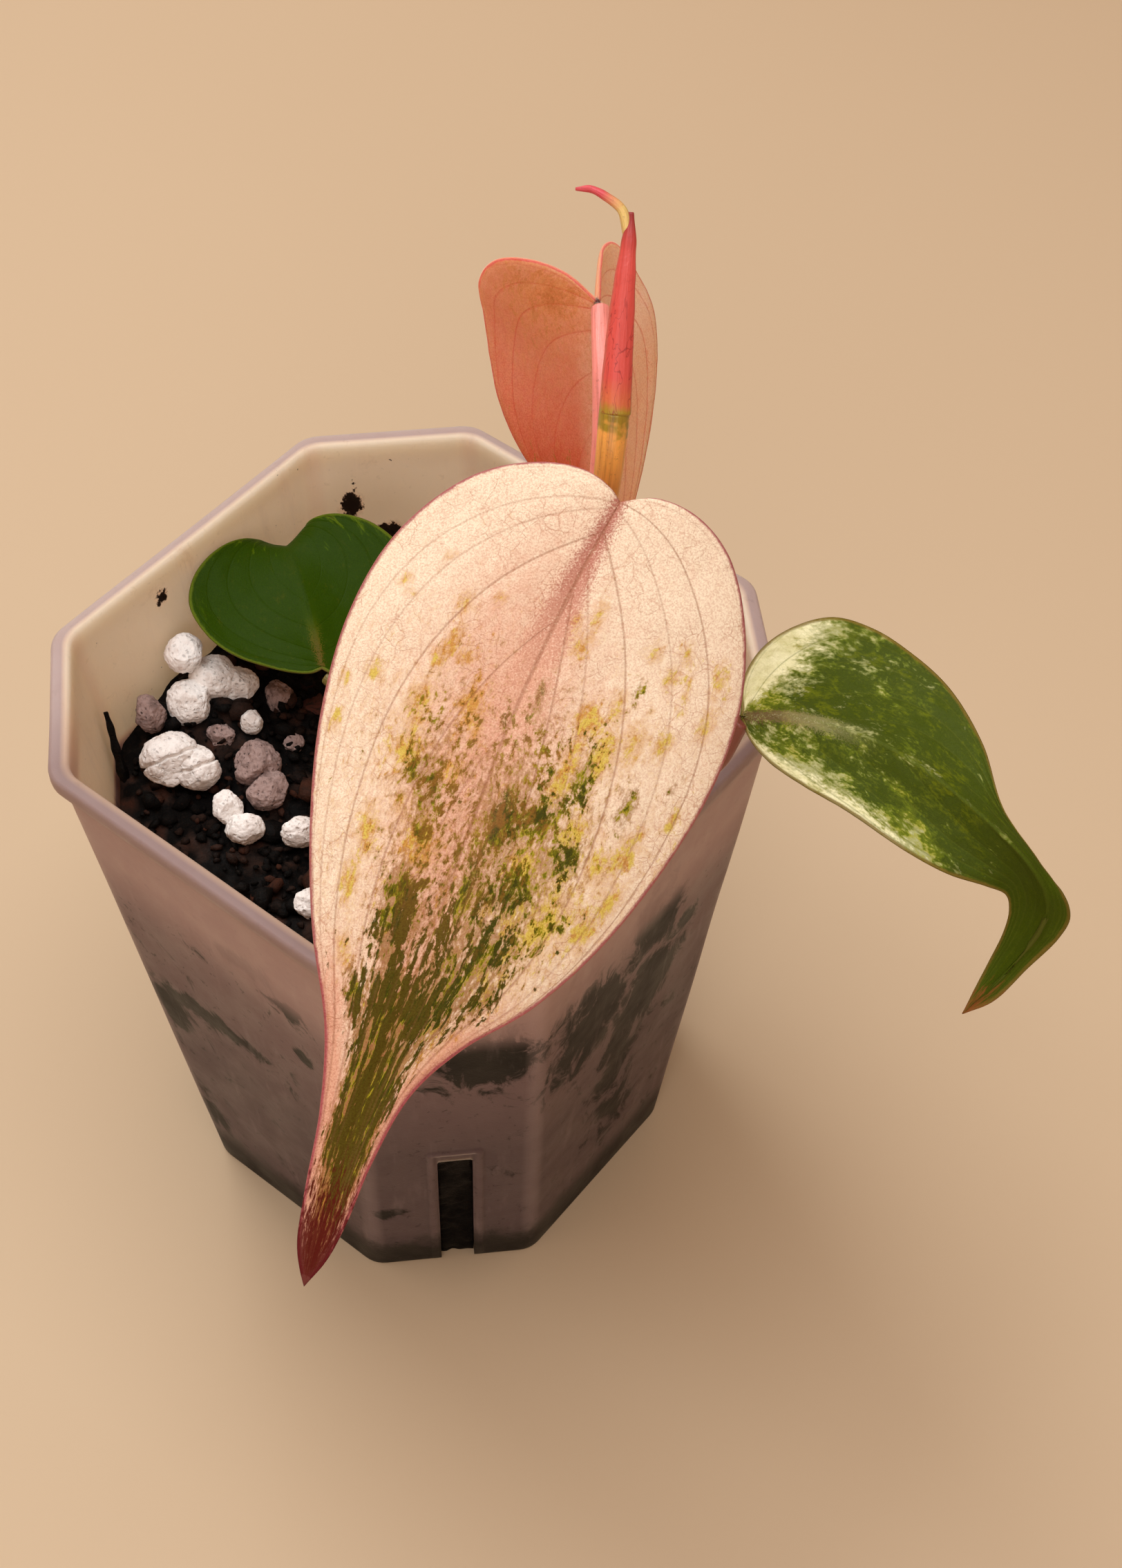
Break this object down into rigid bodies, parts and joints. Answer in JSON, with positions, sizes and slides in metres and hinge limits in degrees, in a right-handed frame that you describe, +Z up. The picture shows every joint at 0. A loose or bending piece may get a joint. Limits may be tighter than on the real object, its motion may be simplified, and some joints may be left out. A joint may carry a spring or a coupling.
{
  "type": "potted plant",
  "caption": "Young climbing houseplant with heart-shaped pink, cream and green leaves, in a square frosted nursery pot with cut corners and drain slots.",
  "frame": {"origin": "centre of the pot's flat foot", "axes": "+Z up the plant; -Y towards the cut corner of the pot that the largest leaf hangs over"},
  "size_m": [0.1013, 0.1131, 0.1451],
  "materials": {
    "pot": "frosted translucent plastic, smooth lip",
    "soil": "rough, damp",
    "perlite": "rough, chalky",
    "pumice": "rough, porous",
    "bark": "rough",
    "stem": "smooth, slightly waxy",
    "sheath": "smooth, slightly waxy",
    "new_leaf": "smooth, slightly waxy",
    "pink_stalk": "smooth, slightly waxy",
    "brown_stalk": "smooth, slightly waxy",
    "green_stalk": "smooth, slightly waxy",
    "leaf_front": "velvety, cream and pink with green flecks",
    "leaf_back": "velvety, salmon underside",
    "leaf_right": "velvety, green and cream",
    "leaf_small": "velvety, dark green"
  },
  "bodies": {
    "root": {"pot": "pot", "soil": "soil", "perlite_cluster": "perlite", "perlite_split": "perlite", "pumice_block": "pumice", "perlite_pair": "perlite", "pumice_wall": "pumice", "pumice_low": "pumice", "perlite_bead": "perlite", "pumice_back": "pumice", "pumice_chip": "pumice", "perlite_front": "perlite", "perlite_edge": "perlite", "perlite_01": "perlite", "perlite_02": "perlite", "pumice_03": "pumice", "perlite_04": "perlite", "perlite_05": "perlite", "pumice_06": "pumice", "perlite_07": "perlite", "perlite_08": "perlite", "pumice_09": "pumice", "perlite_10": "perlite", "perlite_11": "perlite", "pumice_12": "pumice", "bark_chip": "bark", "twig": "bark", "stem": "stem", "sheath": "sheath", "new_leaf": "new_leaf", "leaf_front": "leaf_front", "stalk_front": "brown_stalk", "leaf_back": "leaf_back", "stalk_back": "pink_stalk", "leaf_right": "leaf_right", "stalk_right": "brown_stalk", "leaf_small": "leaf_small", "stalk_small": "green_stalk"}
  },
  "joints": []
}
